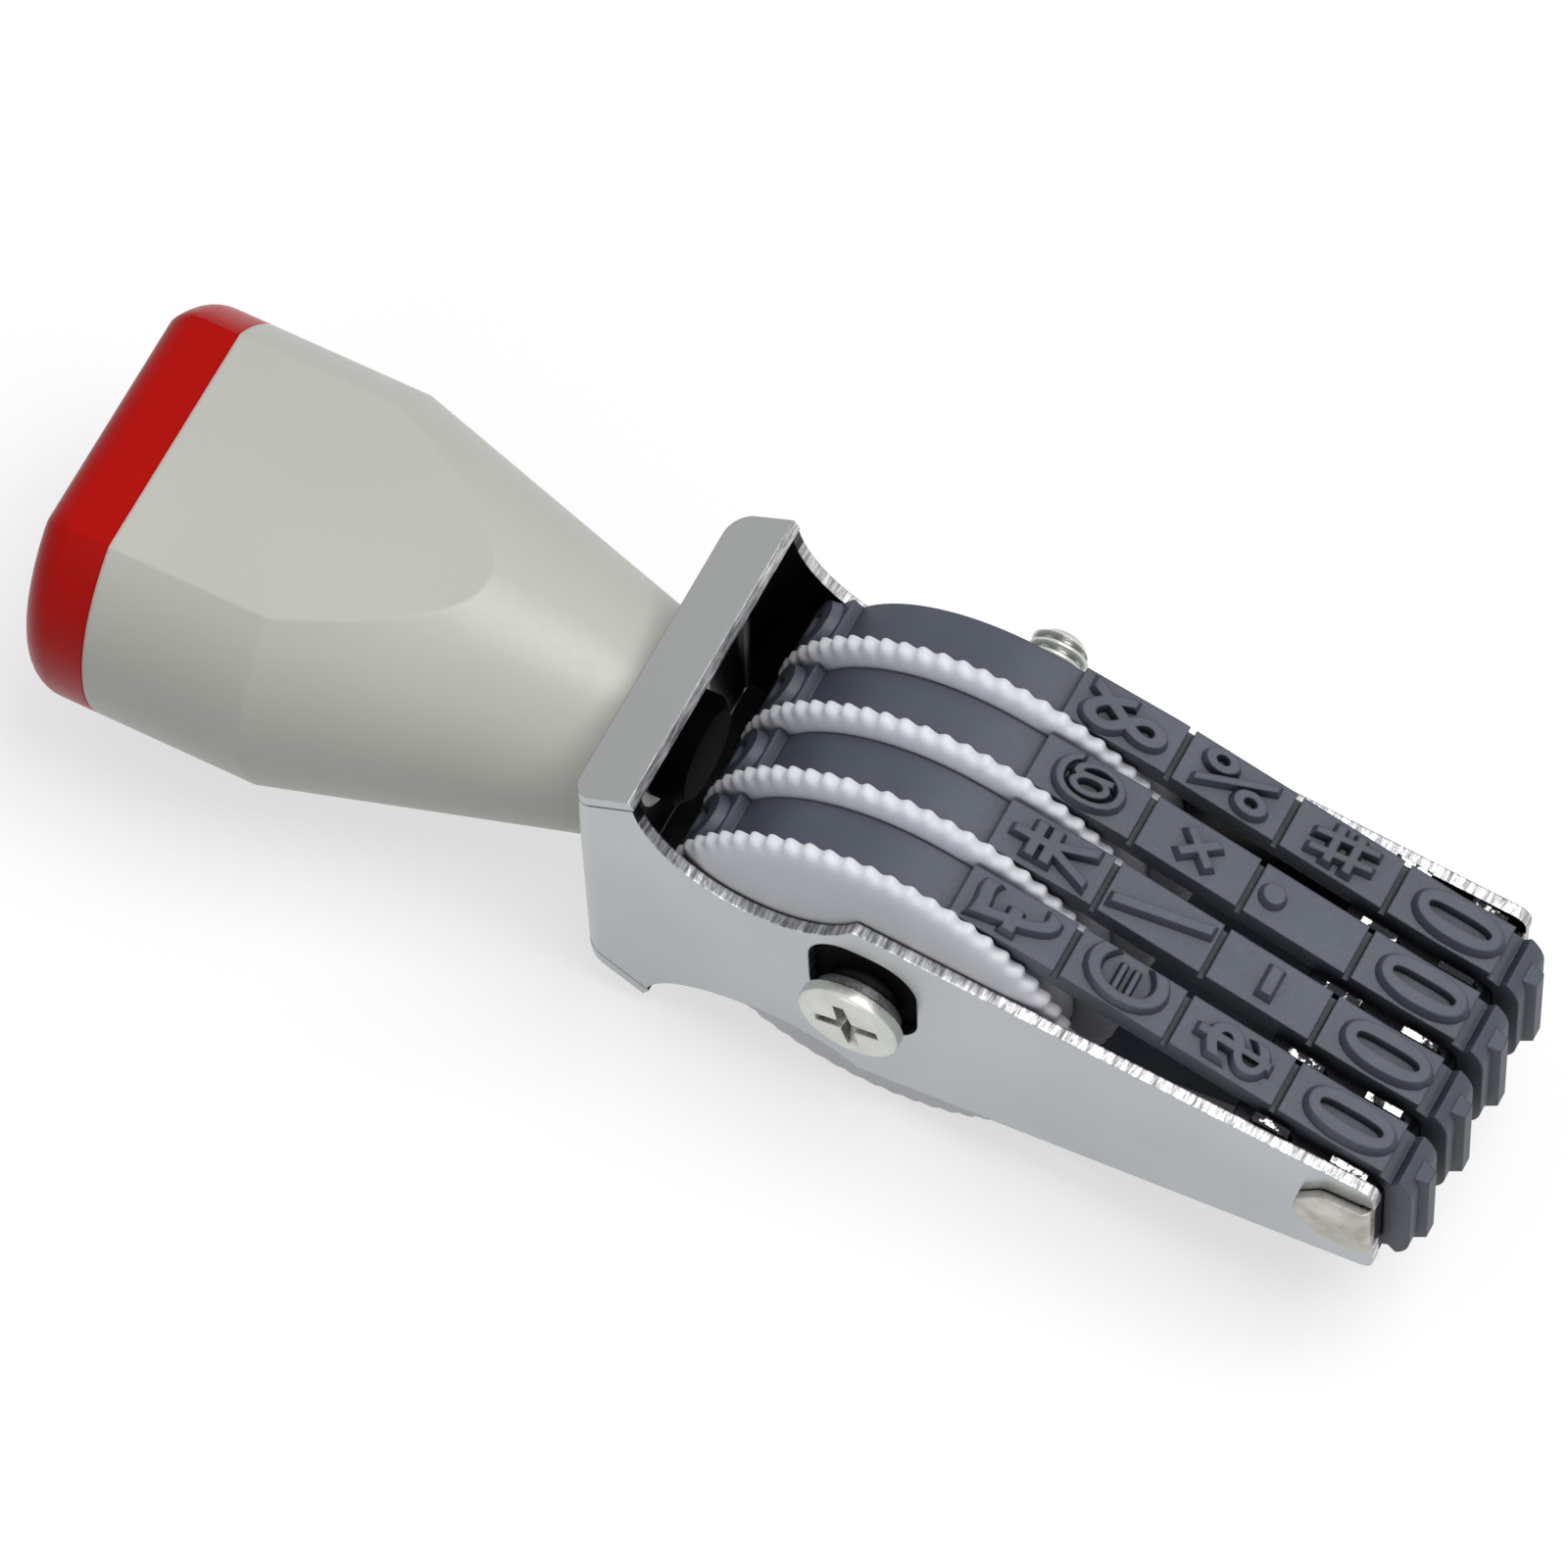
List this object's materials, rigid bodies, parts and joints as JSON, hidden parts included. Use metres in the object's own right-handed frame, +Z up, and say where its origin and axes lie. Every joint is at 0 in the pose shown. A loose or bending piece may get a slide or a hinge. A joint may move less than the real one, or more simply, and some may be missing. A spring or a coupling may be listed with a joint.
{
  "type": "band numbering stamp",
  "caption": "Hand numbering stamp: plastic grip with end cap, bent plated frame, serrated thumb wheels and rubber type bands on a nose bridge.",
  "frame": {"origin": "centre of the bottom of the whole stamp's box, lying on its side on the wheels' rims", "axes": "+X along the stamp from the grip to the printing nose, +Y along the axle away from the screw head, +Z up"},
  "size_m": [0.0944, 0.0303, 0.029],
  "materials": {
    "plated_sheet": "satin bright plating",
    "grip_plastic": "satin",
    "cap_plastic": "satin",
    "zinc_screw": "zinc plated",
    "black_steel": "blackened",
    "zinc_washer": "zinc plated",
    "sleeve_steel": "turned",
    "nickel_sheet": "matte nickel plating",
    "plated_separator": "bright plating",
    "wheel_plastic": "moulded",
    "band_rubber": "matte"
  },
  "bodies": {
    "stamp_body": {"frame": "plated_sheet", "handle_body": "grip_plastic", "handle_cap": "cap_plastic", "handle_screw": "black_steel", "handle_screw_washer": "zinc_washer", "axle_screw": "zinc_screw", "axle_washer": "zinc_washer", "axle_sleeve": "sleeve_steel", "nose_bridge": "nickel_sheet", "band_1": "band_rubber", "band_2": "band_rubber", "band_3": "band_rubber", "band_4": "band_rubber", "separator_1": "plated_separator", "separator_2": "plated_separator", "separator_3": "plated_separator", "separator_4": "plated_separator", "separator_5": "plated_separator"},
    "wheel_1_body": {"wheel_1": "wheel_plastic"},
    "wheel_2_body": {"wheel_2": "wheel_plastic"},
    "wheel_3_body": {"wheel_3": "wheel_plastic"},
    "wheel_4_body": {"wheel_4": "wheel_plastic"}
  },
  "joints": [
    {"name": "wheel_1_turn", "type": "hinge", "parent": "stamp_body", "child": "wheel_1_body", "pos_m": [0.01068, -0.00934, 0.0145], "axis": [0, 1, 0], "continuous": true},
    {"name": "wheel_2_turn", "type": "hinge", "parent": "stamp_body", "child": "wheel_2_body", "pos_m": [0.01068, -0.00434, 0.0145], "axis": [0, 1, 0], "continuous": true},
    {"name": "wheel_3_turn", "type": "hinge", "parent": "stamp_body", "child": "wheel_3_body", "pos_m": [0.01068, 0.00065, 0.0145], "axis": [0, 1, 0], "continuous": true},
    {"name": "wheel_4_turn", "type": "hinge", "parent": "stamp_body", "child": "wheel_4_body", "pos_m": [0.01068, 0.00564, 0.0145], "axis": [0, 1, 0], "continuous": true}
  ]
}
